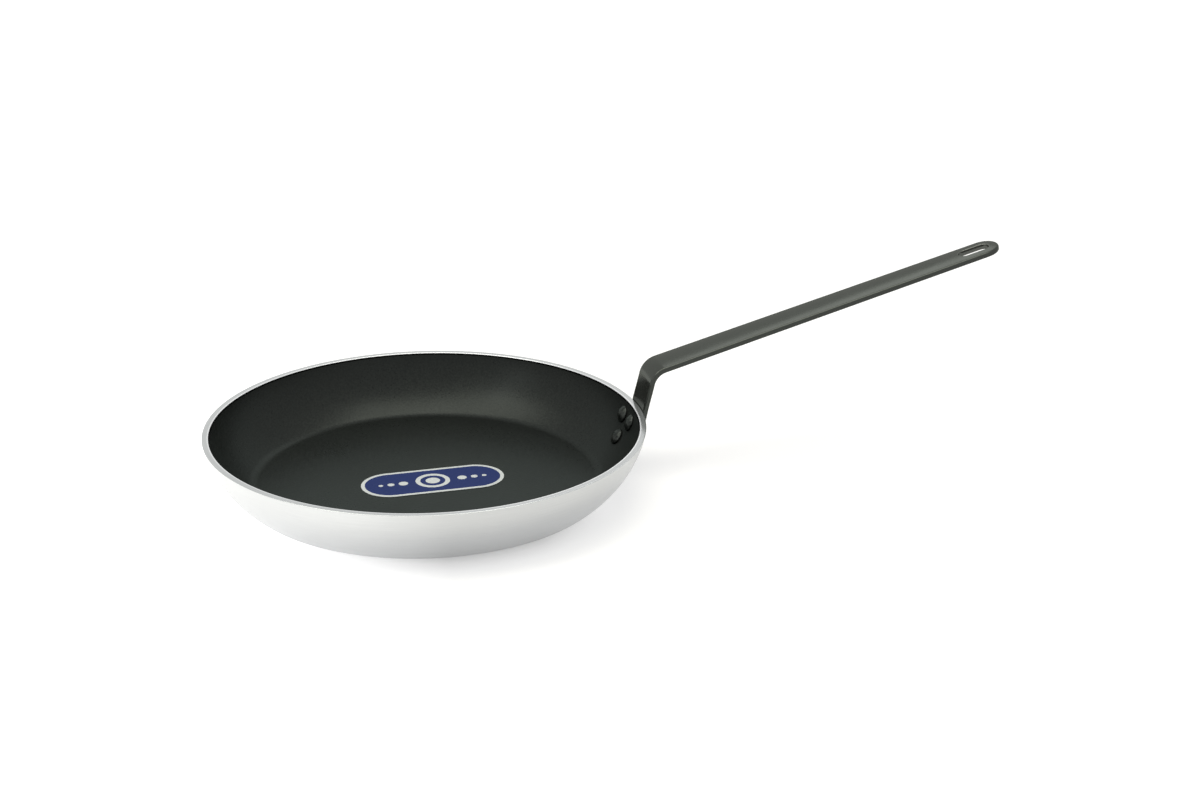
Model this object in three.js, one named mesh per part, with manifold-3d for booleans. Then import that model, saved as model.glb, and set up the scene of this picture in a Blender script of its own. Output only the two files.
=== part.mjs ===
// Nonstick frying pan: a pressed aluminium pan with a dark fired coating inside, and a bent steel
// strip handle held to the wall by three rivets.
// Millimetres and degrees, +Z up, +X along the handle, origin at the centre of the flat underside.

import * as THREE from 'three';
import { mergeVertices } from 'three/addons/utils/BufferGeometryUtils.js';
import Module from 'manifold-3d';

// Pan body
const RIM_DIAMETER = 280;          // outside, across the rim
const PAN_HEIGHT = 41;             // underside to rim
const WALL_FLARE = 33;             // run of the wall from the edge of the flat base out to the rim
const WALL_THICKNESS = 4;
const BASE_FILLET = 15;            // outside radius where the base turns up into the wall
const RIM_LEAN = 12.6;             // lean of the wall off vertical where it reaches the rim
const RIM_BREAK = 0.4;             // broken edges of the turned rim

// Coating inside the pan, and the round-ended label stuck on its floor
const COATING_THICKNESS = 0.3;
const SKIN_CLEARANCE = 0.05;       // under the coating and under the label
const LABEL_LENGTH = 92;
const LABEL_WIDTH = 38;
const LABEL_THICKNESS = 0.3;
const LABEL_OFFSET_X = 3;          // the label's centre from the pan's axis
const LABEL_OFFSET_Y = -4;

// Handle: one strip, blanked flat, then bent
const STRIP_THICKNESS = 3.5;       // along its edges
const STRIP_EDGE_RADIUS = 1.2;     // rounding along every edge of the strip
const EDGE_SHARE = 0.45;           // most of the thickness that one rounding may take
const FACE_CROWN = 0.5;            // rise of the grip's upper face along its middle, above its edges
const STRIP_WIDTH = 26;            // at the rim
const TIP_WIDTH = 22;              // at the round end of the grip
const RISER_LENGTH = 18.3;         // straight stretch from the rim up to the bend
const BEND_RADIUS = 10.5;          // inside the bend, on the grip's lower face
const GRIP_RISE = 14.9;            // slope of the grip above horizontal
const GRIP_LENGTH = 240;           // end of the bend to the tip
const SLOT_LENGTH = 21;            // hanging slot, end to end
const SLOT_WIDTH = 9;
const SLOT_END_MARGIN = 6.5;       // metal between the slot and the tip
const SLOT_BREAK = 0.7;            // broken edges of the slot
const FOOT_MARGIN = 6.5;           // metal from the centre of an upper rivet to the side of the foot
const FOOT_END_RADIUS = 10;        // round lower end of the foot, about the lower rivet
const SEAT_CLEARANCE = 0.3;        // foot to wall, and rivet heads to what they clamp

// Rivets: an upper pair and one below, set square to the wall
const RIVET_SPACING = 17;          // between the upper pair
const UPPER_ROW = 11.5;            // below the rim, along the foot
const LOWER_ROW = 26.5;
const SHANK_DIAMETER = 5;
const BORE_CLEARANCE = 0.3;        // all round the shank
const HEAD_DIAMETER = 11;          // domed head inside the pan
const HEAD_HEIGHT = 2.8;
const HEAD_EDGE = 0.5;             // straight edge under the dome
const FORMED_DIAMETER = 9;         // formed head outside, on the foot
const FORMED_HEIGHT = 2.6;

// Facets
const ROUND_SEGMENTS = 72;
const RIVET_SEGMENTS = 20;
const FILLET_STEPS = 4;
const WALL_STEPS = 8;
const FOOT_STEPS = 14;
const RISER_STEPS = 4;
const BEND_STEPS = 10;
const GRIP_STEPS = 1;
const END_STEPS = 8;
const EDGE_STEPS = 2;
const ACROSS_STEPS = 6;
const DOME_STEPS = 4;
const STADIUM_STEPS = 12;
const MERGE_TOLERANCE = 1e-4;

const { degToRad, smoothstep, lerp } = THREE.MathUtils;
const wasm = await Module();
wasm.setup();

// Solids

/** Turns a closed geometry into a solid: shared corners merged, triangles without area dropped. */
function solidOf(geometry) {
  const bare = geometry.clone();
  bare.deleteAttribute('normal');
  bare.deleteAttribute('uv');
  const merged = mergeVertices(bare, MERGE_TOLERANCE);
  const corners = merged.index.array;
  const triVerts = [];
  for (let i = 0; i < corners.length; i += 3) {
    const [a, b, c] = corners.slice(i, i + 3);
    if (a !== b && b !== c && c !== a) {
      triVerts.push(a, b, c);
    }
  }
  return new wasm.Manifold(new wasm.Mesh({
    numProp: 3,
    vertProperties: new Float32Array(merged.attributes.position.array),
    triVerts: new Uint32Array(triVerts),
  }));
}

/** Turns a solid back into a geometry with flat-shaded faces. */
function geometryOf(solid) {
  const { vertProperties, triVerts } = solid.getMesh();
  const geometry = new THREE.BufferGeometry();
  geometry.setAttribute('position', new THREE.BufferAttribute(vertProperties, 3));
  geometry.setIndex(new THREE.BufferAttribute(triVerts, 1));
  geometry.computeVertexNormals();
  return geometry;
}

/** Joins equal rings of points, one after the other, into a skin; each end is closed by a fan. */
function stackRings(rings) {
  const size = rings[0].length;
  const points = rings.flat();
  const index = [];
  for (let ring = 0; ring + 1 < rings.length; ring += 1) {
    for (let i = 0; i < size; i += 1) {
      const next = (i + 1) % size;
      const low = ring * size;
      const high = low + size;
      index.push(low + i, low + next, high + next);
      index.push(low + i, high + next, high + i);
    }
  }
  const last = (rings.length - 1) * size;
  for (let i = 1; i + 1 < size; i += 1) {
    index.push(0, i + 1, i);
    index.push(last, last + i, last + i + 1);
  }
  const geometry = new THREE.BufferGeometry().setFromPoints(points);
  geometry.setIndex(index);
  return geometry;
}

/** Turns a section of (radius, height) points about the Z axis. */
function revolve(section) {
  return new THREE.LatheGeometry(section, ROUND_SEGMENTS).rotateX(Math.PI / 2);
}

/** A slot-shaped ring, counterclockwise, at one height: straight sides and half-round ends. */
function stadiumRing(length, width, height) {
  const radius = width / 2;
  const reach = length / 2 - radius;
  const ring = [];
  for (const side of [1, -1]) {
    for (let i = 0; i <= STADIUM_STEPS; i += 1) {
      const angle = Math.PI * (i / STADIUM_STEPS - 0.5);
      const x = side * (reach + radius * Math.cos(angle));
      ring.push(new THREE.Vector3(x, side * radius * Math.sin(angle), height));
    }
  }
  return ring;
}

// Wall of the pan: a fillet that rises from the flat base, then one arc, tangent to it, to the rim

const rimRadius = RIM_DIAMETER / 2;
const rimSlope = degToRad(90 - RIM_LEAN);
const filletCentre = new THREE.Vector2(rimRadius - WALL_FLARE, BASE_FILLET);
const rimPoint = new THREE.Vector2(rimRadius, PAN_HEIGHT);
const rimInward = new THREE.Vector2(-Math.sin(rimSlope), Math.cos(rimSlope));
const filletToRim = rimPoint.clone().sub(filletCentre);
const wallRadius = (BASE_FILLET ** 2 - filletToRim.lengthSq())
  / (2 * (filletToRim.dot(rimInward) + BASE_FILLET));
const wallCentre = rimPoint.clone().addScaledVector(rimInward, wallRadius);
const centreToFillet = filletCentre.clone().sub(wallCentre);
const filletEndSlope = Math.atan2(centreToFillet.x, -centreToFillet.y);

/** Point on the arc about a centre, in the wall's section, where the wall has this slope. */
function arcPoint(centre, radius, slope) {
  return new THREE.Vector2(
    centre.x + radius * Math.sin(slope),
    centre.y - radius * Math.cos(slope),
  );
}

/** Slope of the wall's arc where a skin at this offset from the outside reaches a height. */
function slopeAtHeight(height, offset) {
  return Math.acos((wallCentre.y - height) / (wallRadius + offset));
}

/** Section of a skin at an offset from the outside of the wall, from the flat base up to a height. */
function wallSection(offset, height) {
  const section = [];
  for (let i = 0; i < FILLET_STEPS; i += 1) {
    section.push(arcPoint(filletCentre, BASE_FILLET + offset, filletEndSlope * i / FILLET_STEPS));
  }
  const topSlope = slopeAtHeight(height, offset);
  for (let i = 0; i <= WALL_STEPS; i += 1) {
    const slope = lerp(filletEndSlope, topSlope, i / WALL_STEPS);
    section.push(arcPoint(wallCentre, wallRadius + offset, slope));
  }
  return section;
}

/** Outer and inner skin of a shell between two offsets, closed on the axis, with a rim between. */
function shellSection(outerOffset, innerOffset, height, rim) {
  const outer = wallSection(outerOffset, height);
  const inner = wallSection(innerOffset, height).reverse();
  const start = new THREE.Vector2(0, -outerOffset);
  const end = new THREE.Vector2(0, -innerOffset);
  return [start, ...outer, ...rim, ...inner, end];
}

// Rivet places: each axis leaves the outside of the wall at a right angle

const footRadius = wallRadius + SEAT_CLEARANCE + STRIP_THICKNESS / 2;

/** Place of a rivet, by its distance below the rim and its distance to the side. */
function rivetPlace(row, aside) {
  const slope = rimSlope - row / footRadius;
  const spot = arcPoint(wallCentre, wallRadius, slope);
  const turn = aside / arcPoint(wallCentre, footRadius, slope).x;
  const outward = new THREE.Vector3(
    Math.sin(slope) * Math.cos(turn),
    Math.sin(slope) * Math.sin(turn),
    -Math.cos(slope),
  );
  return {
    position: new THREE.Vector3(spot.x * Math.cos(turn), spot.x * Math.sin(turn), spot.y),
    quaternion: new THREE.Quaternion().setFromUnitVectors(new THREE.Vector3(0, 1, 0), outward),
  };
}

const rivetPlaces = {
  rivet_upper_left: rivetPlace(UPPER_ROW, RIVET_SPACING / 2),
  rivet_upper_right: rivetPlace(UPPER_ROW, -RIVET_SPACING / 2),
  rivet_lower: rivetPlace(LOWER_ROW, 0),
};

/** Drills the three rivet bores through a solid. */
function drillRivets(solid) {
  const radius = SHANK_DIAMETER / 2 + BORE_CLEARANCE;
  const reach = WALL_THICKNESS + COATING_THICKNESS + STRIP_THICKNESS;
  let drilled = solid;
  for (const place of Object.values(rivetPlaces)) {
    const drill = new THREE.CylinderGeometry(radius, radius, 2 * reach, RIVET_SEGMENTS);
    drill.applyQuaternion(place.quaternion);
    drill.translate(...place.position.toArray());
    drilled = drilled.subtract(solidOf(drill));
  }
  return drilled;
}

// Pieces

function panBody() {
  const inside = -WALL_THICKNESS;
  const outerEdge = rimRadius - RIM_BREAK;
  const innerSlope = slopeAtHeight(PAN_HEIGHT, inside);
  const innerEdge = arcPoint(wallCentre, wallRadius + inside, innerSlope).x + RIM_BREAK;
  const rim = [
    new THREE.Vector2(outerEdge, PAN_HEIGHT),
    new THREE.Vector2(innerEdge, PAN_HEIGHT),
  ];
  const section = shellSection(0, inside, PAN_HEIGHT - RIM_BREAK, rim);
  return geometryOf(drillRivets(solidOf(revolve(section))));
}

const coatingUnder = -WALL_THICKNESS - SKIN_CLEARANCE;
const coatingFace = coatingUnder - COATING_THICKNESS;

function nonstickCoating() {
  const section = shellSection(coatingUnder, coatingFace, PAN_HEIGHT - RIM_BREAK, []);
  return geometryOf(drillRivets(solidOf(revolve(section))));
}

function label() {
  const underside = SKIN_CLEARANCE - coatingFace;
  const rings = [underside, underside + LABEL_THICKNESS].map(
    (height) => stadiumRing(LABEL_LENGTH, LABEL_WIDTH, height),
  );
  return stackRings(rings).translate(LABEL_OFFSET_X, LABEL_OFFSET_Y, 0);
}

/** Half section of a spherical dome, from its foot circle up to the axis, growing along a direction. */
function domeSection(radius, rise, foot, direction) {
  const sphere = (radius ** 2 + rise ** 2) / (2 * rise);
  const spread = Math.asin(radius / sphere);
  const section = [];
  for (let i = DOME_STEPS; i >= 0; i -= 1) {
    const angle = spread * i / DOME_STEPS;
    const height = sphere * Math.cos(angle) - (sphere - rise);
    section.push(new THREE.Vector2(sphere * Math.sin(angle), foot + direction * height));
  }
  return section;
}

/** A rivet about its own Y axis, which points out of the pan; zero is the outside of the wall. */
function rivet() {
  const headRadius = HEAD_DIAMETER / 2;
  const shankRadius = SHANK_DIAMETER / 2;
  const hollow = headRadius ** 2 / (2 * (wallRadius + coatingFace));
  const headUnder = coatingFace - SEAT_CLEARANCE - hollow;
  const headEdge = headUnder - HEAD_EDGE;
  const formedUnder = STRIP_THICKNESS + 2 * SEAT_CLEARANCE;
  const section = [
    ...domeSection(headRadius, HEAD_HEIGHT - HEAD_EDGE, headEdge, -1).reverse(),
    new THREE.Vector2(headRadius, headUnder),
    new THREE.Vector2(shankRadius, headUnder),
    new THREE.Vector2(shankRadius, formedUnder),
    ...domeSection(FORMED_DIAMETER / 2, FORMED_HEIGHT, formedUnder, 1),
  ];
  return geometryOf(solidOf(new THREE.LatheGeometry(section, RIVET_SEGMENTS)));
}

// Handle: the middle of the strip runs up the wall, on as the riser, round the bend and along the grip

const footLength = LOWER_ROW + FOOT_END_RADIUS;
const gripSlope = degToRad(GRIP_RISE);
const bendMidRadius = BEND_RADIUS + STRIP_THICKNESS / 2;
const riserStart = arcPoint(wallCentre, footRadius, rimSlope);
const riserEnd = new THREE.Vector2(
  riserStart.x + RISER_LENGTH * Math.cos(rimSlope),
  riserStart.y + RISER_LENGTH * Math.sin(rimSlope),
);
const bendCentre = arcPoint(riserEnd, bendMidRadius, rimSlope);
const gripStart = arcPoint(bendCentre, -bendMidRadius, gripSlope);
const bendLength = bendMidRadius * (rimSlope - gripSlope);
const riserTop = footLength + RISER_LENGTH;
const gripFoot = riserTop + bendLength;
const stripLength = gripFoot + GRIP_LENGTH;
const edgeRadius = Math.min(STRIP_EDGE_RADIUS, EDGE_SHARE * STRIP_THICKNESS);
const tipRadius = TIP_WIDTH / 2;
const tipCentre = stripLength - tipRadius;

/** Middle of the strip and its slope, at a distance along the strip from the foot's lower end. */
function stripAt(along) {
  if (along <= footLength) {
    const slope = rimSlope - (footLength - along) / footRadius;
    return { spot: arcPoint(wallCentre, footRadius, slope), slope };
  }
  if (along <= riserTop) {
    const part = (along - footLength) / RISER_LENGTH;
    return { spot: riserStart.clone().lerp(riserEnd, part), slope: rimSlope };
  }
  if (along <= gripFoot) {
    const slope = rimSlope - (along - riserTop) / bendMidRadius;
    return { spot: arcPoint(bendCentre, -bendMidRadius, slope), slope };
  }
  const run = along - gripFoot;
  const spot = new THREE.Vector2(
    gripStart.x + run * Math.cos(gripSlope),
    gripStart.y + run * Math.sin(gripSlope),
  );
  return { spot, slope: gripSlope };
}

/** Half the width of the flat blank, between its two round ends. */
function halfWidth(along) {
  const upperRow = footLength - UPPER_ROW;
  const footHalf = RIVET_SPACING / 2 + FOOT_MARGIN;
  if (along <= upperRow) {
    return lerp(FOOT_END_RADIUS, footHalf, smoothstep(along, FOOT_END_RADIUS, upperRow));
  }
  if (along <= footLength) {
    return lerp(footHalf, STRIP_WIDTH / 2, smoothstep(along, upperRow, footLength));
  }
  return lerp(STRIP_WIDTH, TIP_WIDTH, (along - footLength) / (stripLength - footLength)) / 2;
}

/** Swell of the upper face: full along the middle of the grip, none at its edges or on the riser. */
function crownAt(along, aside) {
  const pastTip = Math.max(0, along - tipCentre);
  const reach = Math.hypot(pastTip, aside) / halfWidth(along - pastTip);
  return FACE_CROWN * smoothstep(along, riserTop, gripFoot) * Math.max(0, 1 - reach ** 2);
}

/** Puts a point of the flat blank on the bent strip; the foot also wraps round the pan's wall. */
function bendPoint(along, aside, rise) {
  const { spot, slope } = stripAt(along);
  const radius = spot.x - rise * Math.sin(slope);
  const height = spot.y + rise * Math.cos(slope);
  const wrap = 1 - smoothstep(along, footLength, riserTop);
  const turn = aside / spot.x;
  const x = radius * lerp(1, Math.cos(turn), wrap);
  const y = lerp(aside, radius * Math.sin(turn), wrap);
  return new THREE.Vector3(x, y, height);
}

/** Points round the strip's cross-section: share of the half width, inset from the edge, and rise. */
function stripSection() {
  const half = STRIP_THICKNESS / 2;
  const core = half - edgeRadius;
  const section = [];
  for (const face of [1, -1]) {
    for (let i = 1; i < ACROSS_STEPS; i += 1) {
      section.push({ share: face * (1 - 2 * i / ACROSS_STEPS), inset: edgeRadius, rise: face * half });
    }
    for (const corner of [1, 0]) {
      for (let i = 0; i <= EDGE_STEPS; i += 1) {
        const angle = Math.PI / 2 * (corner - i / EDGE_STEPS);
        section.push({
          share: -face,
          inset: edgeRadius * (1 - Math.cos(angle)),
          rise: face * ((2 * corner - 1) * core + edgeRadius * Math.sin(angle)),
        });
      }
    }
  }
  return section;
}

/** Stations along the blank. Each gives, for an inset from the edge, the place along and half width. */
function stripStations() {
  const stations = [];
  const addStretch = (from, to, steps) => {
    for (let i = 0; i < steps; i += 1) {
      const along = lerp(from, to, i / steps);
      stations.push((inset) => ({ along, half: halfWidth(along) - inset }));
    }
  };
  for (let i = 0; i < END_STEPS; i += 1) {
    const angle = Math.PI / 2 * i / END_STEPS;
    stations.push((inset) => ({
      along: FOOT_END_RADIUS - (FOOT_END_RADIUS - inset) * Math.cos(angle),
      half: (FOOT_END_RADIUS - inset) * Math.sin(angle),
    }));
  }
  addStretch(FOOT_END_RADIUS, footLength, FOOT_STEPS);
  addStretch(footLength, riserTop, RISER_STEPS);
  addStretch(riserTop, gripFoot, BEND_STEPS);
  addStretch(gripFoot, tipCentre, GRIP_STEPS);
  for (let i = 0; i <= END_STEPS; i += 1) {
    const angle = Math.PI / 2 * i / END_STEPS;
    stations.push((inset) => ({
      along: tipCentre + (tipRadius - inset) * Math.sin(angle),
      half: (tipRadius - inset) * Math.cos(angle),
    }));
  }
  return stations;
}

/** Cutter for the hanging slot: widened where it leaves both faces, set square to the grip. */
function slotCutter() {
  const bottom = -STRIP_THICKNESS / 2;
  const top = FACE_CROWN - bottom;
  const levels = [
    [bottom - SLOT_BREAK, 2 * SLOT_BREAK],
    [bottom + SLOT_BREAK, 0],
    [top - SLOT_BREAK, 0],
    [top + SLOT_BREAK, 2 * SLOT_BREAK],
  ];
  const rings = levels.map(
    ([height, outset]) => stadiumRing(SLOT_LENGTH + 2 * outset, SLOT_WIDTH + 2 * outset, height),
  );
  const { spot } = stripAt(stripLength - SLOT_END_MARGIN - SLOT_LENGTH / 2);
  return stackRings(rings).rotateY(-gripSlope).translate(spot.x, 0, spot.y);
}

function handle() {
  const section = stripSection();
  const rings = stripStations().map((station) => section.map(({ share, inset, rise }) => {
    const { along, half } = station(inset);
    const aside = share * half;
    const swell = rise > 0 ? crownAt(along, aside) : 0;
    return bendPoint(along, aside, rise + swell);
  }));
  const strip = solidOf(stackRings(rings));
  return geometryOf(drillRivets(strip).subtract(solidOf(slotCutter())));
}

// Assembly

const aluminium = { color: 0xd4d5d4, roughness: 0.35, metalness: 1 };
const coating = { color: 0x2c2e2d, roughness: 0.45, metalness: 0 };
const paintedSteel = { color: 0x50534f, roughness: 0.5, metalness: 0.2 };
const rivetFinish = { color: 0x3a3c3b, roughness: 0.4, metalness: 0.3 };
const labelPrint = { color: 0x36428f, roughness: 0.4, metalness: 0 };

function piece(name, geometry, finish) {
  const mesh = new THREE.Mesh(geometry, new THREE.MeshStandardMaterial(finish));
  mesh.name = name;
  return mesh;
}

const fryingPan = new THREE.Group();
fryingPan.name = 'frying_pan';
fryingPan.add(piece('pan_body', panBody(), aluminium));
fryingPan.add(piece('nonstick_coating', nonstickCoating(), coating));
fryingPan.add(piece('floor_label', label(), labelPrint));
fryingPan.add(piece('handle', handle(), paintedSteel));
for (const [name, place] of Object.entries(rivetPlaces)) {
  const mesh = piece(name, rivet(), rivetFinish);
  mesh.position.copy(place.position);
  mesh.quaternion.copy(place.quaternion);
  fryingPan.add(mesh);
}

export default fryingPan;
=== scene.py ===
"""Looks of a nonstick frying pan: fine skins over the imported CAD, their finishes, light and camera.

Metres, +Z up, +X along the handle, origin at the centre of the pan's underside.
"""
import math

import bmesh
import bpy
import numpy as np
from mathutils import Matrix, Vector


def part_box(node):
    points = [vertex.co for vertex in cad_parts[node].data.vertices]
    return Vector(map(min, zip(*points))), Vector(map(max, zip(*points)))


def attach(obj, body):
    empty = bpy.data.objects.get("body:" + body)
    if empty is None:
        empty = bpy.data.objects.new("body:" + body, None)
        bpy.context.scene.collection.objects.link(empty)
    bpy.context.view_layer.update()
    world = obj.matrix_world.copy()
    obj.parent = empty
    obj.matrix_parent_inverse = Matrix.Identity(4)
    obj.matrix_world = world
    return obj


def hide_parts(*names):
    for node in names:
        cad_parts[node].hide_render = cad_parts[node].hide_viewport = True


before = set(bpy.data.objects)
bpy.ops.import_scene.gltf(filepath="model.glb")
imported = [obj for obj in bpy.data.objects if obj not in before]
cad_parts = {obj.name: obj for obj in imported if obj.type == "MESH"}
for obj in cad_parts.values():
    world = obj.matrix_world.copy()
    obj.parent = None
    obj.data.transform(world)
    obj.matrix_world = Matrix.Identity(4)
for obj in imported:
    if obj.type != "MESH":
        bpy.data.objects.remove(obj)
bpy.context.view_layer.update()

MM = 0.001

# Pan body and coating
RIM_RADIUS = 140 * MM
PAN_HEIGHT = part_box("pan_body")[1].z
WALL_FLARE = 33 * MM              # from the edge of the flat base out to the rim
WALL_THICKNESS = 4 * MM
BASE_FILLET = 15 * MM
RIM_LEAN = math.radians(12.6)     # of the wall at the rim, out from upright
OUTER_EASE = 0.4 * MM             # rounding of the rim's outer edge
INNER_EASE = 0.25 * MM            # rounding of the rim's inner edge
BRIGHT_WIDTH = 0.6 * MM           # painted highlight: a bright line along the inner edge of the rim's flat top
COATING_UNDER = -4.05 * MM        # faces of the coating, from the outside of the wall
COATING_FACE = -4.35 * MM
COATING_TOP = 40.55 * MM
LIP_RISE = 0.25 * MM              # of the point that draws up the coating's rounded edge

# Label on the floor
LABEL_RADIUS = 19 * MM            # of its round ends
LABEL_REACH = 27 * MM             # half the straight sides
LABEL_EASE = 0.1 * MM
BORDER_WIDTH = 2.4 * MM
RING_RADIUS = 9.5 * MM
RING_HALF_WIDTH = 1.5 * MM
DISC_RADIUS = 4.6 * MM
LARGE_DOT = (19 * MM, 3.0 * MM)   # distance from the middle, and radius
MIDDLE_DOT = (27 * MM, 2.2 * MM)
SMALL_DOT = (33.5 * MM, 1.5 * MM)

# Handle
STRIP_THICKNESS = 3.5 * MM
STRIP_EDGE_RADIUS = 1.2 * MM
FACE_CROWN = 0.5 * MM
STRIP_WIDTH = 26 * MM
TIP_WIDTH = 22 * MM
RISER_LENGTH = 18.3 * MM
BEND_RADIUS = 10.5 * MM
GRIP_RISE = math.radians(14.9)
GRIP_LENGTH = 240 * MM
SLOT_LENGTH = 21 * MM
SLOT_WIDTH = 9 * MM
SLOT_END_MARGIN = 6.5 * MM
SLOT_EASE = 0.7 * MM
SLOT_APPROACH = 3 * SLOT_EASE     # length before the slot that is left to the mesh round it
FOOT_HALF_WIDTH = 15 * MM
FOOT_END_RADIUS = 10 * MM
SEAT_CLEARANCE = 0.3 * MM

# Rivets
RIVET_SPACING = 17 * MM
UPPER_ROW = 11.5 * MM
LOWER_ROW = 26.5 * MM
SHANK_RADIUS = 2.5 * MM
HEAD_RADIUS = 5.5 * MM
HEAD_HEIGHT = 2.8 * MM
HEAD_EDGE = 0.5 * MM
FORMED_RADIUS = 4.5 * MM
FORMED_HEIGHT = 2.6 * MM

# Light: the floor glows to the eye and in mirrors
NEAR_GLOW = 0.62
FAR_GLOW = 0.85
GLOW_SPAN = (0.4, 1.6)            # distances from the pan's axis over which the glow grows
LEFT_GLOW = 0.42                  # painted light: extra glow at the left of the pan
LEFT_SPAN = (-0.11, -0.01)        # places along X over which it fades
UNDER_LOSS = 0.35                 # painted shadow: glow that is lost beneath the pan
UNDER_SPAN = (0.1, 0.13)          # distances from the axis over which the loss fades
RIGHT_SPAN = (0.05, 0.1)          # places along X over which it fades at the right
TOUCH_LENGTH = 0.6 * MM           # rays this short start on what stands on the floor
FLOOR_HALF = 4.0
FLOOR_DROP = 0.3 * MM             # of the floor below the pan's underside
AMBIENT = 0.35                    # strength of the white world as a light

# Camera, fitted to the rim and the handle in the photograph
CAMERA_TURN = math.radians(15.26)
CAMERA_RISE = math.radians(21.14)
CAMERA_DISTANCE = 1.42872
CAMERA_LENS = 67.73               # in mm, as the sensor's width
SENSOR_WIDTH = 36
AIM_RIGHT = 0.1105                # from the rim's centre to the middle of the picture
AIM_UP = 0.01631

# Facets
TURNED_SEGMENTS = 360
RIVET_SEGMENTS = 64
WALL_STEPS = 48
FILLET_STEPS = 14
FLAT_STEPS = 24
RIM_STEPS = 6
BRIGHT_STEPS = 3
EASE_STEPS = 8
DOME_STEPS = 18
LABEL_RINGS = 10
END_STEPS = 32
FOOT_STATIONS = 40
RISER_STATIONS = 20
BEND_STATIONS = 36
GRIP_STATIONS = 60
SLOT_STATIONS = 16
ACROSS_SHARES = np.array([0, 0.04, 0.12, 0.25, 0.4, 0.55, 0.7, 0.82, 0.92, 0.97, 1])
WELD_DISTANCE = 1e-7

# Places of the finishes on the pieces that have several
WALL, RIM_TOP, RIM_EDGE, BASE = range(4)
FACE, LIP = range(2)
HEAD, FORMED = range(2)


# Meshes

def grid_quads(rows, columns):
    """Quads of a grid whose rows are closed: each (row, column) with its next neighbours."""
    row, column = np.meshgrid(np.arange(rows - 1), np.arange(columns), indexing="ij")
    following = (column + 1) % columns
    corners = [
        row * columns + column,
        row * columns + following,
        (row + 1) * columns + following,
        (row + 1) * columns + column,
    ]
    return np.stack(corners, axis=-1).reshape(-1, 4)


def add_object(name, data):
    """Puts a mesh, lamp or camera in the scene, at the origin."""
    thing = bpy.data.objects.new(name, data)
    bpy.context.scene.collection.objects.link(thing)
    return thing


def add_piece(node, points, quads, picks, finishes):
    """Makes a welded, smooth piece that stands for a CAD node. Picks give each quad its finish."""
    mesh = bpy.data.meshes.new(node + "_skin")
    mesh.from_pydata(points.reshape(-1, 3).tolist(), [], quads.tolist())
    for finish in finishes:
        mesh.materials.append(finish)
    mesh.polygons.foreach_set("material_index", picks.astype(np.int32))
    shape = bmesh.new()
    shape.from_mesh(mesh)
    bmesh.ops.remove_doubles(shape, verts=shape.verts, dist=WELD_DISTANCE)
    shape.to_mesh(mesh)
    shape.free()
    mesh.shade_smooth()
    piece = add_object(node + "_skin", mesh)
    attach(piece, "root")
    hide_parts(node)


def add_rows(node, points, row_picks, finishes):
    """Makes a piece from closed rows of points, with a finish for each row."""
    rows, columns = points.shape[:2]
    quads = grid_quads(rows, columns)
    add_piece(node, points, quads, row_picks[quads[:, 0] // columns], finishes)


def pairs(first, second):
    """Joins two coordinates into flat points; either may be one number for all."""
    return np.stack(np.broadcast_arrays(first, second), axis=-1)


def join_stretches(*stretches):
    """Joins stretches of a section, each its points and its finish, into all points and all finishes."""
    points = np.concatenate([part for part, finish in stretches])
    finishes = np.concatenate([np.full(len(part), finish) for part, finish in stretches])
    return points, finishes


def turn_section(section, segments):
    """Turns (radius, height) points about Z: (r cos a, r sin a, h) for a full turn of a."""
    angle = np.linspace(0, 2 * np.pi, segments, endpoint=False)
    radius = section[:, :1]
    height = np.broadcast_to(section[:, 1:], (len(section), segments))
    return np.stack([radius * np.cos(angle), radius * np.sin(angle), height], axis=-1)


def eased_corner(before, corner, after):
    """Rounds a corner: (1 - t)^2 before + 2 t (1 - t) corner + t^2 after."""
    t = np.linspace(0, 1, EASE_STEPS)[:, None]
    return (1 - t) ** 2 * before + 2 * t * (1 - t) * corner + t ** 2 * after


def smoothstep(value, low, high):
    """Eases from 0 at low to 1 at high: 3 t^2 - 2 t^3."""
    t = np.clip((value - low) / (high - low), 0, 1)
    return t * t * (3 - 2 * t)


# Wall of the pan: a fillet that rises from the flat base, then one arc, tangent to it, to the rim

rim_slope = math.pi / 2 - RIM_LEAN
fillet_centre = np.array([RIM_RADIUS - WALL_FLARE, BASE_FILLET])
rim_point = np.array([RIM_RADIUS, PAN_HEIGHT])
rim_inward = np.array([-math.sin(rim_slope), math.cos(rim_slope)])
fillet_to_rim = rim_point - fillet_centre
wall_radius = (BASE_FILLET ** 2 - fillet_to_rim @ fillet_to_rim) / (
    2 * (fillet_to_rim @ rim_inward + BASE_FILLET)
)
wall_centre = rim_point + wall_radius * rim_inward
fillet_end = math.atan2(fillet_centre[0] - wall_centre[0], wall_centre[1] - fillet_centre[1])


def arc(centre, radius, slope):
    """Point on an arc where it has this slope: centre + radius (sin, -cos)."""
    return pairs(centre[0] + radius * np.sin(slope), centre[1] - radius * np.cos(slope))


def wall_slope(offset, height):
    """Slope of the wall's arc at a height, on a skin at an offset from the outside of the wall."""
    return math.acos((wall_centre[1] - height) / (wall_radius + offset))


def wall_section(offset, height):
    """Section of a skin at an offset from the outside: the flat, the fillet, then the arc to a height."""
    flat = np.linspace([0, -offset], [fillet_centre[0], -offset], FLAT_STEPS, endpoint=False)
    fillet_slopes = np.linspace(0, fillet_end, FILLET_STEPS, endpoint=False)
    wall_slopes = np.linspace(fillet_end, wall_slope(offset, height), WALL_STEPS)
    fillet = arc(fillet_centre, BASE_FILLET + offset, fillet_slopes)
    wall = arc(wall_centre, wall_radius + offset, wall_slopes)
    return np.concatenate([flat, fillet, wall])


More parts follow.
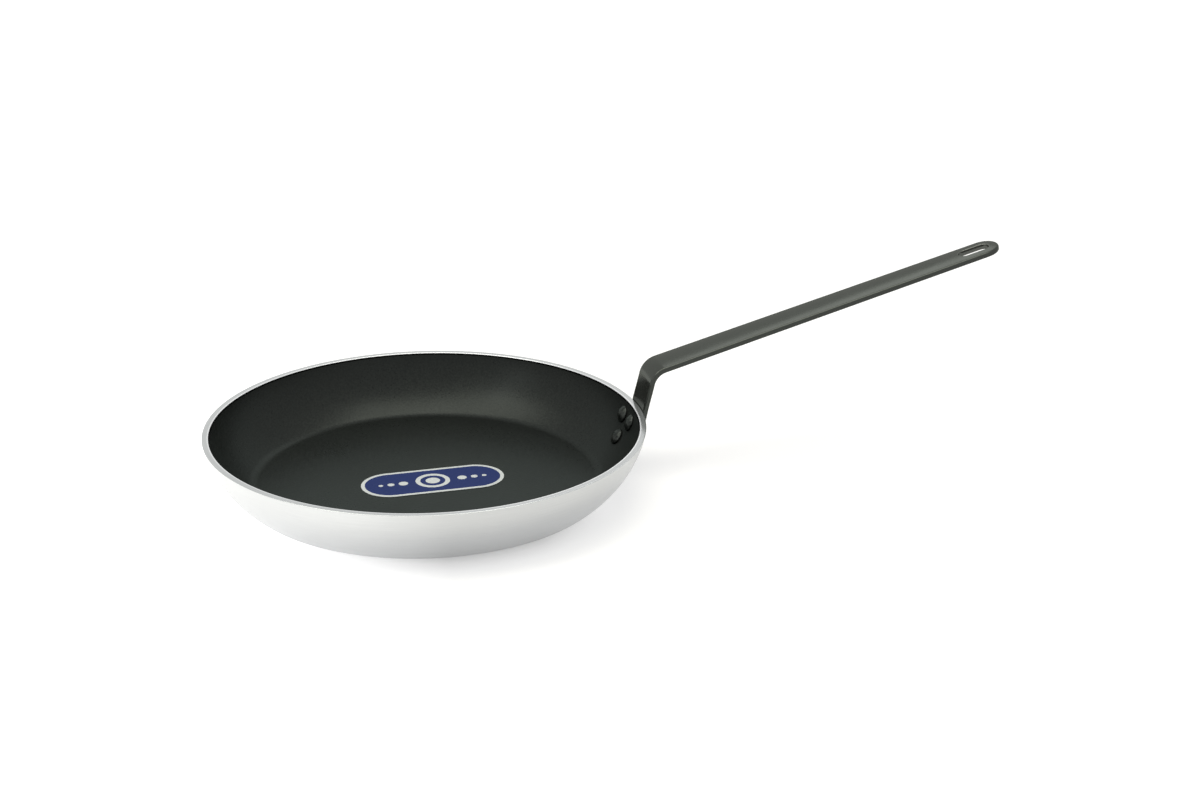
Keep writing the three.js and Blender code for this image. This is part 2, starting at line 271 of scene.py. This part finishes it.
def pan_section():
    """Section of the pan and its finishes: outside, flat rim with two eased edges, inside."""
    outside = wall_section(0, PAN_HEIGHT - OUTER_EASE)
    inside = wall_section(-WALL_THICKNESS, PAN_HEIGHT - INNER_EASE)[::-1]
    inner_slope = wall_slope(-WALL_THICKNESS, PAN_HEIGHT)
    inner_edge = arc(wall_centre, wall_radius - WALL_THICKNESS, inner_slope)
    outer_top = rim_point - [OUTER_EASE, 0]
    inner_top = inner_edge + [INNER_EASE, 0]
    bright_start = inner_top + [BRIGHT_WIDTH, 0]
    # The rim's inner edge and the band of flat top next to it carry the painted highlight.
    return join_stretches(
        (outside[:FLAT_STEPS], BASE),
        (outside[FLAT_STEPS:-1], WALL),
        (eased_corner(outside[-1], rim_point, outer_top), RIM_TOP),
        (np.linspace(outer_top, bright_start, RIM_STEPS)[1:-1], RIM_TOP),
        (np.linspace(bright_start, inner_top, BRIGHT_STEPS)[:-1], RIM_EDGE),
        (eased_corner(inner_top, inner_edge, inside[0]), RIM_EDGE),
        (inside[1:], WALL),
    )


def coating_section():
    """Section of the coating and its finishes: a thin skin with a rounded upper edge."""
    under = wall_section(COATING_UNDER, COATING_TOP)
    face = wall_section(COATING_FACE, COATING_TOP)[::-1]
    crest = (under[-1] + face[0]) / 2 + [0, LIP_RISE]
    # The rounded upper edge carries the painted shade.
    return join_stretches(
        (under[:-1], FACE),
        (eased_corner(under[-1], crest, face[0]), LIP),
        (face[1:], FACE),
    )


def label_points():
    """The label: rings of a straight-sided, round-ended outline, drawn in from the edge to its middle."""
    low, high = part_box("floor_label")
    middle = (low + high) / 2
    drawn_in = np.linspace(LABEL_RADIUS, LABEL_EASE, LABEL_RINGS)
    angle = np.linspace(0, np.pi / 2, EASE_STEPS)
    edge_in = LABEL_EASE * (1 - np.sin(angle))
    edge_up = LABEL_EASE * np.cos(angle)
    inset = np.concatenate([drawn_in, edge_in[1:], edge_in[::-1], drawn_in[::-1][1:]])
    height = np.concatenate([
        np.full(LABEL_RINGS, low.z),
        low.z + LABEL_EASE - edge_up[1:],
        high.z - LABEL_EASE + edge_up[::-1],
        np.full(LABEL_RINGS - 1, high.z),
    ])
    turn = np.linspace(-np.pi / 2, 3 * np.pi / 2, 4 * END_STEPS, endpoint=False)
    ahead = np.repeat([LABEL_REACH, -LABEL_REACH], 2 * END_STEPS)
    radius = (LABEL_RADIUS - inset)[:, None]
    x = middle.x + ahead + radius * np.cos(turn)
    y = middle.y + radius * np.sin(turn)
    return np.stack([x, y, np.broadcast_to(height[:, None], x.shape)], axis=-1)


# Rivets

foot_radius = wall_radius + SEAT_CLEARANCE + STRIP_THICKNESS / 2


def dome(radius, rise, foot, direction):
    """Section of a spherical dome from its crown out to its foot circle, grown along a direction."""
    sphere = (radius ** 2 + rise ** 2) / (2 * rise)
    angle = np.linspace(0, math.asin(radius / sphere), DOME_STEPS)
    height = sphere * np.cos(angle) - (sphere - rise)
    return pairs(sphere * np.sin(angle), foot + direction * height)


def rivet_section():
    """Section along the rivet's axis and its finishes: domed head inside, shank, formed head outside."""
    hollow = HEAD_RADIUS ** 2 / (2 * (wall_radius + COATING_FACE))
    head_under = COATING_FACE - SEAT_CLEARANCE - hollow
    head = dome(HEAD_RADIUS, HEAD_HEIGHT - HEAD_EDGE, head_under - HEAD_EDGE, -1)
    brim_corner = np.array([HEAD_RADIUS, head_under - HEAD_EDGE])
    brim = eased_corner(head[-2], brim_corner, np.array([HEAD_RADIUS, head_under]))
    formed_under = STRIP_THICKNESS + 2 * SEAT_CLEARANCE
    return join_stretches(
        (head[:-2], HEAD),
        (brim, HEAD),
        (pairs(SHANK_RADIUS, [head_under, formed_under]), FORMED),
        (dome(FORMED_RADIUS, FORMED_HEIGHT, formed_under, 1)[::-1], FORMED),
    )


def rivet_points(section, row, aside):
    """A rivet turned about the line square to the wall, at a row below the rim and to one side."""
    slope = rim_slope - row / foot_radius
    spot = arc(wall_centre, wall_radius, slope)
    turn = aside / arc(wall_centre, foot_radius, slope)[0]
    place = np.array([spot[0] * math.cos(turn), spot[0] * math.sin(turn), spot[1]])
    ahead = np.array([
        math.sin(slope) * math.cos(turn), math.sin(slope) * math.sin(turn), -math.cos(slope),
    ])
    across = np.array([-math.sin(turn), math.cos(turn), 0])
    axes = np.stack([across, np.cross(ahead, across), ahead])
    return place + turn_section(section, RIVET_SEGMENTS) @ axes


# Handle: the middle of the strip runs up the wall, on as the riser, round the bend and along the grip

foot_length = LOWER_ROW + FOOT_END_RADIUS
bend_middle = BEND_RADIUS + STRIP_THICKNESS / 2
along_riser = np.array([math.cos(rim_slope), math.sin(rim_slope)])
along_grip = np.array([math.cos(GRIP_RISE), math.sin(GRIP_RISE)])
riser_start = arc(wall_centre, foot_radius, rim_slope)
bend_centre = arc(riser_start + RISER_LENGTH * along_riser, bend_middle, rim_slope)
grip_start = arc(bend_centre, -bend_middle, GRIP_RISE)
riser_top = foot_length + RISER_LENGTH
grip_foot = riser_top + bend_middle * (rim_slope - GRIP_RISE)
strip_length = grip_foot + GRIP_LENGTH
tip_radius = TIP_WIDTH / 2
tip_centre = strip_length - tip_radius
slot_radius = SLOT_WIDTH / 2
slot_far = strip_length - SLOT_END_MARGIN - slot_radius
slot_near = slot_far - SLOT_LENGTH + SLOT_WIDTH
slot_start = slot_near - slot_radius


def half_width(along):
    """Half the width of the flat blank, between its two round ends."""
    upper_row = foot_length - UPPER_ROW
    widening = FOOT_HALF_WIDTH - FOOT_END_RADIUS
    narrowing = FOOT_HALF_WIDTH - STRIP_WIDTH / 2
    low = FOOT_END_RADIUS + widening * smoothstep(along, FOOT_END_RADIUS, upper_row)
    high = FOOT_HALF_WIDTH - narrowing * smoothstep(along, upper_row, foot_length)
    taper = (along - foot_length) / (strip_length - foot_length)
    grip = (STRIP_WIDTH + (TIP_WIDTH - STRIP_WIDTH) * taper) / 2
    return np.select([along <= upper_row, along <= foot_length], [low, high], grip)


def blank_stations():
    """Stations along half of the flat blank: round the foot's end, straight, round the slot and the tip.

    Each pairs a point of the outline with one of the inner line, which is the centre line and then the
    slot's edge. It gives the way out of the metal at the first and into the metal at the second. The
    last value is the number of the last station before the slot.
    """
    quarter = np.linspace(0, np.pi / 2, END_STEPS, endpoint=False)
    cos, sin = np.cos(quarter), np.sin(quarter)
    round_start = pairs(-cos, sin)
    last_quarter = np.linspace(0, np.pi / 2, END_STEPS)
    round_tip = pairs(np.sin(last_quarter), np.cos(last_quarter))
    straight = np.concatenate([
        np.linspace(FOOT_END_RADIUS, foot_length, FOOT_STATIONS, endpoint=False),
        np.linspace(foot_length, riser_top, RISER_STATIONS, endpoint=False),
        np.linspace(riser_top, grip_foot, BEND_STATIONS, endpoint=False),
        np.linspace(grip_foot, slot_start - SLOT_APPROACH, GRIP_STATIONS),
    ])
    share = np.linspace(0, 1, SLOT_STATIONS, endpoint=False)
    sides = np.concatenate([
        straight,
        np.linspace(slot_start - SLOT_EASE, slot_near, END_STEPS, endpoint=False),
        slot_near + (tip_centre - slot_near) * share,
    ])
    outline = np.concatenate([
        [FOOT_END_RADIUS, 0] + FOOT_END_RADIUS * round_start,
        pairs(sides, half_width(sides)),
        [tip_centre, 0] + tip_radius * round_tip,
    ])
    outward = np.concatenate([round_start, pairs(0 * sides, 1), round_tip])
    foot_core = FOOT_END_RADIUS - STRIP_EDGE_RADIUS
    inner_line = np.concatenate([
        pairs(FOOT_END_RADIUS - foot_core * cos, 0),
        pairs(straight, 0),
        [slot_near, 0] + slot_radius * round_start,
        pairs(slot_near + (slot_far - slot_near) * share, slot_radius),
        [slot_far, 0] + slot_radius * round_tip,
    ])
    plain = END_STEPS + len(straight)
    into_metal = np.concatenate([np.zeros((plain, 2)), round_start, pairs(0 * share, 1), round_tip])
    return outline, outward, inner_line, into_metal, plain - 1


def strip_ring():
    """Points round half of the strip's cross-section, from the middle of its upper face.

    Each has a share of the way from the inner line to the outline, an inset from either, and a rise: the
    upper face, the rounded outer edge, the lower face, then the wall of the slot. The last value is the
    number of the last point before that wall.
    """
    half = STRIP_THICKNESS / 2
    quarter = np.linspace(0, np.pi / 2, EASE_STEPS)[1:]
    edge_in = STRIP_EDGE_RADIUS * (1 - np.sin(quarter))
    edge_rise = half - STRIP_EDGE_RADIUS * (1 - np.cos(quarter))
    slot_in = SLOT_EASE * (1 - np.sin(quarter))
    slot_rise = half - SLOT_EASE * (1 - np.cos(quarter))
    face = len(ACROSS_SHARES)
    edge = 2 * len(quarter) - 1
    share = np.concatenate([ACROSS_SHARES, np.ones(edge), ACROSS_SHARES[::-1], np.zeros(edge)])
    outer_in = np.concatenate([
        np.full(face, STRIP_EDGE_RADIUS), edge_in, edge_in[-2::-1],
        np.full(face, STRIP_EDGE_RADIUS), np.zeros(edge),
    ])
    inner_in = np.concatenate([
        np.full(face, SLOT_EASE), np.zeros(edge),
        np.full(face, SLOT_EASE), slot_in, slot_in[-2::-1],
    ])
    rise = np.concatenate([
        np.full(face, half), edge_rise, -edge_rise[-2::-1],
        np.full(face, -half), -slot_rise, slot_rise[-2::-1],
    ])
    return share, outer_in, inner_in, rise, 2 * face + edge - 1


def bend_strip(along, aside, rise):
    """Puts points of the flat blank on the bent strip; its foot also wraps round the pan's wall."""
    foot_slope = rim_slope - (foot_length - along) / foot_radius
    bend_slope = rim_slope - (along - riser_top) / bend_middle
    stretches = [along <= foot_length, along <= riser_top, along <= grip_foot]
    slope = np.select(stretches, [foot_slope, np.full_like(along, rim_slope), bend_slope], GRIP_RISE)
    spot = np.select(
        [stretch[..., None] for stretch in stretches],
        [
            arc(wall_centre, foot_radius, foot_slope),
            riser_start + (along - foot_length)[..., None] * along_riser,
            arc(bend_centre, -bend_middle, bend_slope),
        ],
        grip_start + (along - grip_foot)[..., None] * along_grip,
    )
    radius = spot[..., 0] - rise * np.sin(slope)
    height = spot[..., 1] + rise * np.cos(slope)
    wrap = 1 - smoothstep(along, foot_length, riser_top)
    turn = aside / spot[..., 0]
    x = radius * (1 + wrap * (np.cos(turn) - 1))
    y = aside + wrap * (radius * np.sin(turn) - aside)
    return np.stack([x, y, height], axis=-1)


def handle_mesh():
    """Points and quads of the handle: half the blank as stations by ring, bent, and its mirror image.

    The upper face is crowned by FACE_CROWN (1 - r^2), r being 0 on the centre line and 1 on the outline.
    The last value says which quads are in the slot.
    """
    outline, outward, inner_line, into_metal, last_plain = blank_stations()
    share, outer_in, inner_in, rise, last_face = strip_ring()
    outer = outline[:, None] - outer_in[:, None] * outward[:, None]
    inner = inner_line[:, None] + inner_in[:, None] * into_metal[:, None]
    blank = share[:, None] * outer + (1 - share[:, None]) * inner
    along, aside = blank[..., 0], blank[..., 1]
    past_tip = np.maximum(0, along - tip_centre)
    reach = np.hypot(past_tip, aside) / half_width(along - past_tip)
    crown = FACE_CROWN * smoothstep(along, riser_top, grip_foot) * np.maximum(0, 1 - reach ** 2)
    points = bend_strip(along, aside, rise + np.where(rise > 0, crown, 0))
    quads = grid_quads(*along.shape)
    station, column = np.divmod(quads[:, 0], along.shape[1])
    in_slot = column >= last_face
    kept = (station > last_plain) | ~in_slot
    used, corners = np.unique(quads[kept], return_inverse=True)
    points = points.reshape(-1, 3)[used]
    quads = corners.reshape(-1, 4)
    both = np.concatenate([quads[:, ::-1], quads + len(points)])
    return np.concatenate([points, points * [1, -1, 1]]), both, np.tile(in_slot[kept], 2)


# Finishes

class Finish:
    """A material with short ways to add the nodes that the finishes share."""

    def __init__(self, name, metallic=0.0, roughness=0.5, ior=1.45, tint=(1, 1, 1)):
        self.material = bpy.data.materials.new(name)
        self.material.use_nodes = True
        self.tree = self.material.node_tree
        self.shader = self.tree.nodes["Principled BSDF"]
        self.set("Metallic", metallic)
        self.set("Roughness", roughness)
        self.set("IOR", ior)
        self.set("Specular Tint", tint)

    def put(self, socket, value):
        """Links an output to a socket, or sets a number or an opaque colour on it."""
        if isinstance(value, bpy.types.NodeSocket):
            self.tree.links.new(value, socket)
        else:
            socket.default_value = (*value, 1) if isinstance(value, tuple) else value

    def set(self, name, value):
        """Puts a value on an input of the shader."""
        self.put(self.shader.inputs[name], value)

    def point(self):
        """The point in the part's frame."""
        return self.tree.nodes.new("ShaderNodeTexCoord").outputs["Object"]

    def place(self):
        """The same point as x, y and z."""
        split = self.tree.nodes.new("ShaderNodeSeparateXYZ")
        self.put(split.inputs[0], self.point())
        return list(split.outputs)

    def math(self, operation, *values):
        """One step of arithmetic on outputs or numbers."""
        node = self.tree.nodes.new("ShaderNodeMath")
        node.operation = operation
        for socket, value in zip(node.inputs, values):
            self.put(socket, value)
        return node.outputs[0]

    def length(self, x, y):
        """Length of the flat vector (x, y)."""
        squares = self.math("ADD", self.math("MULTIPLY", x, x), self.math("MULTIPLY", y, y))
        return self.math("SQRT", squares)

    def vector(self, x, y, z):
        """Three outputs or numbers as one vector."""
        node = self.tree.nodes.new("ShaderNodeCombineXYZ")
        for socket, value in zip(node.inputs, (x, y, z)):
            self.put(socket, value)
        return node.outputs[0]

    def noise(self, point, scale, detail=2.0):
        """Smooth noise, with about scale waves to the metre."""
        node = self.tree.nodes.new("ShaderNodeTexNoise")
        self.put(node.inputs["Vector"], point)
        self.put(node.inputs["Scale"], scale)
        self.put(node.inputs["Detail"], detail)
        return node.outputs["Fac"]

    def spread(self, value, low, high, start=0.3, end=0.7):
        """Maps start to low and end to high, and holds the ends; noise runs from about 0.3 to 0.7."""
        node = self.tree.nodes.new("ShaderNodeMapRange")
        for socket, number in zip(node.inputs, (value, start, end, low, high)):
            self.put(socket, number)
        return node.outputs[0]

    def tone(self, share, first, second):
        """Blends two colours by a share."""
        node = self.tree.nodes.new("ShaderNodeMix")
        node.data_type = "RGBA"
        first_colour, second_colour = node.inputs[6:8]
        self.put(node.inputs["Factor"], share)
        self.put(first_colour, first)
        self.put(second_colour, second)
        return node.outputs[2]

    def mottle(self, marks, dark, light):
        """Colours the surface from dark to light with the marks."""
        self.set("Base Color", self.tone(self.spread(marks, 0, 1), dark, light))

    def roughen(self, marks, low, high, clouds, swing):
        """Roughness from low to high with the marks, moved up and down by a swing over the clouds."""
        fine = self.spread(marks, low, high)
        self.set("Roughness", self.math("ADD", fine, self.spread(clouds, -swing, swing)))

    def relief(self, height, depth):
        """Raises the shading of the surface by height times depth."""
        node = self.tree.nodes.new("ShaderNodeBump")
        self.put(node.inputs["Distance"], depth)
        self.put(node.inputs["Height"], height)
        self.set("Normal", node.outputs[0])


def round_streaks(finish):
    """Noise drawn out round the pan's axis: about 25 mm long at the rim and 0.5 mm across."""
    waves_round, waves_across = 5, 2200
    x, y, z = finish.place()
    radius = finish.math("MAXIMUM", finish.length(x, y), MM)
    stretched = finish.vector(
        finish.math("MULTIPLY", finish.math("DIVIDE", x, radius), waves_round),
        finish.math("MULTIPLY", finish.math("DIVIDE", y, radius), waves_round),
        finish.math("MULTIPLY", finish.math("ADD", radius, z), waves_across),
    )
    return finish.noise(stretched, scale=1, detail=3)


def satin_aluminium():
    """Satin aluminium with faint marks round the pan's axis."""
    finish = Finish("satin_aluminium", metallic=1.0)
    streaks = round_streaks(finish)
    clouds = finish.noise(finish.point(), scale=25)
    finish.mottle(streaks, dark=(0.566, 0.574, 0.574), light=(0.606, 0.614, 0.614))
    finish.roughen(streaks, low=0.30, high=0.36, clouds=clouds, swing=0.02)
    finish.relief(streaks, depth=0.005 * MM)
    return finish.material


def turned_rim():
    """The rim's flat top, cut on a lathe: greyer and smoother than the wall."""
    finish = Finish("turned_rim", metallic=1.0)
    streaks = round_streaks(finish)
    finish.mottle(streaks, dark=(0.465, 0.48, 0.475), light=(0.525, 0.54, 0.535))
    finish.set("Roughness", finish.spread(streaks, low=0.12, high=0.18))
    finish.relief(streaks, depth=0.003 * MM)
    return finish.material


def faced_base():
    """The flat underside, faced on a lathe: fine rings about the axis, some heavier than others."""
    finish = Finish("faced_base", metallic=1.0)
    x, y, _ = finish.place()
    rings = finish.noise(finish.vector(finish.length(x, y), 0, 0), scale=700, detail=3)
    clouds = finish.noise(finish.point(), scale=30)
    finish.mottle(rings, dark=(0.54, 0.547, 0.55), light=(0.62, 0.627, 0.63))
    finish.roughen(rings, low=0.26, high=0.38, clouds=clouds, swing=0.03)
    finish.relief(rings, depth=0.02 * MM)
    return finish.material


def painted_highlight_edge():
    """Painted highlight along the inner edge of the rim: aluminium much lighter than the rim's flat top.
    """
    finish = Finish("painted_highlight_edge", metallic=1.0)
    marks = finish.noise(finish.point(), scale=800)
    finish.set("Base Color", finish.tone(marks, (0.66, 0.67, 0.67), (0.74, 0.75, 0.75)))
    finish.set("Roughness", finish.spread(marks, low=0.22, high=0.30))
    return finish.material


def fired_coating():
    """Dark satin nonstick with a fine grain and soft clouds."""
    finish = Finish("fired_coating", metallic=0.6, ior=1.1, tint=(0.66, 0.72, 0.70))
    grain = finish.noise(finish.point(), scale=850, detail=3)
    clouds = finish.noise(finish.point(), scale=22)
    finish.mottle(grain, dark=(0.020, 0.022, 0.021), light=(0.028, 0.031, 0.029))
    finish.roughen(grain, low=0.28, high=0.38, clouds=clouds, swing=0.03)
    finish.relief(grain, depth=0.075 * MM)
    return finish.material


def painted_shade_edge():
    """Painted shade along the coating's upper edge: near black, with next to no gloss."""
    finish = Finish("painted_shade_edge", ior=1.08)
    grain = finish.noise(finish.point(), scale=1700)
    patches = finish.noise(finish.point(), scale=900)
    finish.set("Base Color", finish.tone(grain, (0.001, 0.0012, 0.0011), (0.003, 0.0034, 0.0032)))
    finish.set("Roughness", finish.spread(patches, low=0.5, high=0.6))
    return finish.material


def stoved_coat(name, dark, light):
    """Grey satin stoved coat with a fine grain between two tones."""
    finish = Finish(name, metallic=0.7, ior=1.2, tint=(0.605, 0.617, 0.592))
    grain = finish.noise(finish.point(), scale=1400)
    clouds = finish.noise(finish.point(), scale=40)
    finish.mottle(grain, dark, light)
    finish.roughen(grain, low=0.14, high=0.19, clouds=clouds, swing=0.02)
    finish.relief(grain, depth=0.01 * MM)
    return finish.material


def coated_head():
    """The same dark coating on a rivet's head, a little glossier and uneven over the blows."""
    finish = Finish("coated_head", metallic=0.6, ior=1.1, tint=(0.66, 0.72, 0.70))
    patches = finish.noise(finish.point(), scale=420)
    grain = finish.noise(finish.point(), scale=1700)
    finish.mottle(patches, dark=(0.014, 0.016, 0.015), light=(0.050, 0.054, 0.051))
    finish.set("Roughness", finish.spread(patches, low=0.16, high=0.32))
    faint_grain = finish.math("MULTIPLY", grain, 0.3)
    finish.relief(finish.math("ADD", patches, faint_grain), depth=0.16 * MM)
    return finish.material


def bare_aluminium():
    """Bare formed aluminium with a matt, uneven face."""
    finish = Finish("bare_aluminium", metallic=1.0)
    patches = finish.noise(finish.point(), scale=700)
    finish.mottle(patches, dark=(0.58, 0.58, 0.57), light=(0.68, 0.68, 0.67))
    finish.set("Roughness", finish.spread(patches, low=0.32, high=0.45))
    finish.relief(patches, depth=0.03 * MM)
    return finish.material


def printed_label():
    """Blue print with a silver border, and a silver disc, ring and dots along the middle."""
    finish = Finish("printed_label", ior=1.1)
    x, y, _ = finish.place()
    low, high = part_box("floor_label")
    along = finish.math("ABSOLUTE", finish.math("SUBTRACT", x, (low.x + high.x) / 2))
    aside = finish.math("SUBTRACT", y, (low.y + high.y) / 2)
    past = finish.math("MAXIMUM", finish.math("SUBTRACT", along, LABEL_REACH), 0)
    centre = finish.length(along, aside)
    ring = finish.math("ABSOLUTE", finish.math("SUBTRACT", centre, RING_RADIUS))
    silver = finish.math("GREATER_THAN", finish.length(past, aside), LABEL_RADIUS - BORDER_WIDTH)
    silver = finish.math("MAXIMUM", silver, finish.math("LESS_THAN", ring, RING_HALF_WIDTH))
    silver = finish.math("MAXIMUM", silver, finish.math("LESS_THAN", centre, DISC_RADIUS))
    for distance, radius in (LARGE_DOT, MIDDLE_DOT, SMALL_DOT):
        away = finish.length(finish.math("SUBTRACT", along, distance), aside)
        silver = finish.math("MAXIMUM", silver, finish.math("LESS_THAN", away, radius))
    grain = finish.spread(finish.noise(finish.point(), scale=1200), low=0, high=1)
    blue = finish.tone(grain, (0.010, 0.023, 0.103), (0.014, 0.027, 0.123))
    pale = finish.tone(grain, (0.50, 0.53, 0.54), (0.57, 0.60, 0.61))
    finish.set("Base Color", finish.tone(silver, blue, pale))
    finish.set("Roughness", finish.spread(silver, low=0.30, high=0.38, start=0, end=1))
    return finish.material


# Pieces

section, row_picks = pan_section()
pan_finishes = [satin_aluminium(), turned_rim(), painted_highlight_edge(), faced_base()]
points = turn_section(section, TURNED_SEGMENTS)
add_rows("pan_body", points, row_picks, pan_finishes)

section, row_picks = coating_section()
points = turn_section(section, TURNED_SEGMENTS)
add_rows("nonstick_coating", points, row_picks, [fired_coating(), painted_shade_edge()])

points = label_points()
add_rows("floor_label", points, np.zeros(len(points)), [printed_label()])

points, quads, in_slot = handle_mesh()
strip_coat = stoved_coat("stoved_coat", dark=(0.053, 0.0574, 0.0522), light=(0.061, 0.0662, 0.0602))
# Painted light: the slot's walls take a lighter copy of the same coat.
slot_painted_light_coat = stoved_coat("slot_painted_light_coat", dark=(0.104, 0.109, 0.1), light=(0.118, 0.124, 0.114))
add_piece("handle", points, quads, in_slot, [strip_coat, slot_painted_light_coat])

section, row_picks = rivet_section()
rivet_finishes = [coated_head(), bare_aluminium()]
for node, row, aside in (
    ("rivet_upper_left", UPPER_ROW, RIVET_SPACING / 2),
    ("rivet_upper_right", UPPER_ROW, -RIVET_SPACING / 2),
    ("rivet_lower", LOWER_ROW, 0),
):
    add_rows(node, rivet_points(section, row, aside), row_picks, rivet_finishes)


# Floor, light and camera

def studio_floor():
    """A pale floor that shows white and keeps a soft shadow; its glow holds painted light at the left of
    the pan and painted shadow beneath it.

    It is clear from below and to rays that start on it, so it doesn't hide or darken what stands there.
    """
    finish = Finish("studio_floor", roughness=0.9)
    nodes = finish.tree.nodes
    x, y, _ = finish.place()
    grain = finish.noise(finish.point(), scale=300)
    finish.set("Base Color", finish.tone(grain, (0.49, 0.49, 0.49), (0.51, 0.51, 0.51)))
    away = finish.length(x, y)
    # Painted light at the left of the pan and painted shadow beneath it, in the glow.
    left = finish.spread(x, 1, 0, *LEFT_SPAN)
    right = finish.spread(x, 0, 1, *RIGHT_SPAN)
    under = finish.spread(away, UNDER_LOSS, 0, *UNDER_SPAN)
    under = finish.math("MULTIPLY", under, finish.math("SUBTRACT", 1, left))
    under = finish.math("MULTIPLY", under, finish.math("SUBTRACT", 1, right))
    glow = finish.math("SUBTRACT", finish.spread(away, NEAR_GLOW, FAR_GLOW, *GLOW_SPAN), under)
    glow = finish.math("ADD", glow, finish.math("MULTIPLY", left, LEFT_GLOW))
    path = nodes.new("ShaderNodeLightPath")
    seen = finish.math("MAXIMUM", path.outputs["Is Camera Ray"], path.outputs["Is Glossy Ray"])
    seen = finish.math("MAXIMUM", seen, path.outputs["Is Transmission Ray"])
    finish.set("Emission Color", (1, 1, 1))
    finish.set("Emission Strength", finish.math("MULTIPLY", seen, glow))
    below = nodes.new("ShaderNodeNewGeometry").outputs["Backfacing"]
    touching = finish.math("LESS_THAN", path.outputs["Ray Length"], TOUCH_LENGTH)
    mix = nodes.new("ShaderNodeMixShader")
    finish.put(mix.inputs[0], finish.math("MAXIMUM", below, touching))
    finish.put(mix.inputs[1], finish.shader.outputs[0])
    finish.put(mix.inputs[2], nodes.new("ShaderNodeBsdfTransparent").outputs[0])
    finish.put(nodes["Material Output"].inputs["Surface"], mix.outputs[0])
    return finish.material


def add_floor():
    """A square floor just below the pan."""
    corners = np.array([[-1, -1, 0], [1, -1, 0], [1, 1, 0], [-1, 1, 0]]) * FLOOR_HALF
    mesh = bpy.data.meshes.new("floor")
    mesh.from_pydata((corners - [0, 0, FLOOR_DROP]).tolist(), [], [[0, 1, 2, 3]])
    mesh.materials.append(studio_floor())
    add_object("floor", mesh)


def softbox(name, place, aim, size, power, colour=(1, 1, 1)):
    """A rectangular lamp that faces a point."""
    lamp = bpy.data.lights.new(name, "AREA")
    lamp.shape = "RECTANGLE"
    lamp.size, lamp.size_y = size
    lamp.energy = power
    lamp.color = colour
    holder = add_object(name, lamp)
    holder.visible_camera = False
    holder.location = place
    holder.rotation_euler = (Vector(aim) - Vector(place)).to_track_quat("-Z", "Y").to_euler()


def light_world():
    """A white world, at full strength to the eye and in mirrors, and dimmer as a light."""
    world = bpy.data.worlds.new("studio")
    bpy.context.scene.world = world
    world.use_nodes = True
    tree = world.node_tree
    path = tree.nodes.new("ShaderNodeLightPath")
    seen = tree.nodes.new("ShaderNodeMath")
    seen.operation = "MAXIMUM"
    tree.links.new(path.outputs["Is Camera Ray"], seen.inputs[0])
    tree.links.new(path.outputs["Is Glossy Ray"], seen.inputs[1])
    strength = tree.nodes.new("ShaderNodeMapRange")
    strength.inputs["To Min"].default_value = AMBIENT
    tree.links.new(seen.outputs[0], strength.inputs["Value"])
    background = tree.nodes["Background"]
    background.inputs["Color"].default_value = (1, 1, 1, 1)
    tree.links.new(strength.outputs[0], background.inputs["Strength"])


def add_camera():
    """The camera: turned about Z from a look along +Y, raised, and aimed beside the rim's centre."""
    right = Vector((math.cos(CAMERA_TURN), -math.sin(CAMERA_TURN), 0))
    forward = Vector((
        math.sin(CAMERA_TURN) * math.cos(CAMERA_RISE),
        math.cos(CAMERA_TURN) * math.cos(CAMERA_RISE),
        -math.sin(CAMERA_RISE),
    ))
    aim = Vector((0, 0, PAN_HEIGHT)) + AIM_RIGHT * right + AIM_UP * right.cross(forward)
    lens = bpy.data.cameras.new("camera")
    lens.lens = CAMERA_LENS
    lens.sensor_width = SENSOR_WIDTH
    camera = add_object("camera", lens)
    camera.location = aim - CAMERA_DISTANCE * forward
    camera.rotation_euler = (math.pi / 2 - CAMERA_RISE, 0, -CAMERA_TURN)
    bpy.context.scene.camera = camera


add_floor()
softbox(
    "overhead_softbox", place=(-0.2, 0.03, 1.0), aim=(-0.2, 0.0299, 0.0),
    size=(1.36, 0.72), power=10.8, colour=(1.0, 0.975, 0.87),
)
softbox(
    "back_softbox", place=(0.37, 0.68, 0.585), aim=(0.28, 0.0, 0.1),
    size=(0.42, 0.12), power=0.32,
)
softbox(
    "strip_softbox", place=(-0.87, -0.29, 0.82), aim=(0.075, 0.106, 0.02),
    size=(0.22, 1.0), power=1.2,
)
light_world()
add_camera()
bpy.context.scene.view_settings.view_transform = "Standard"
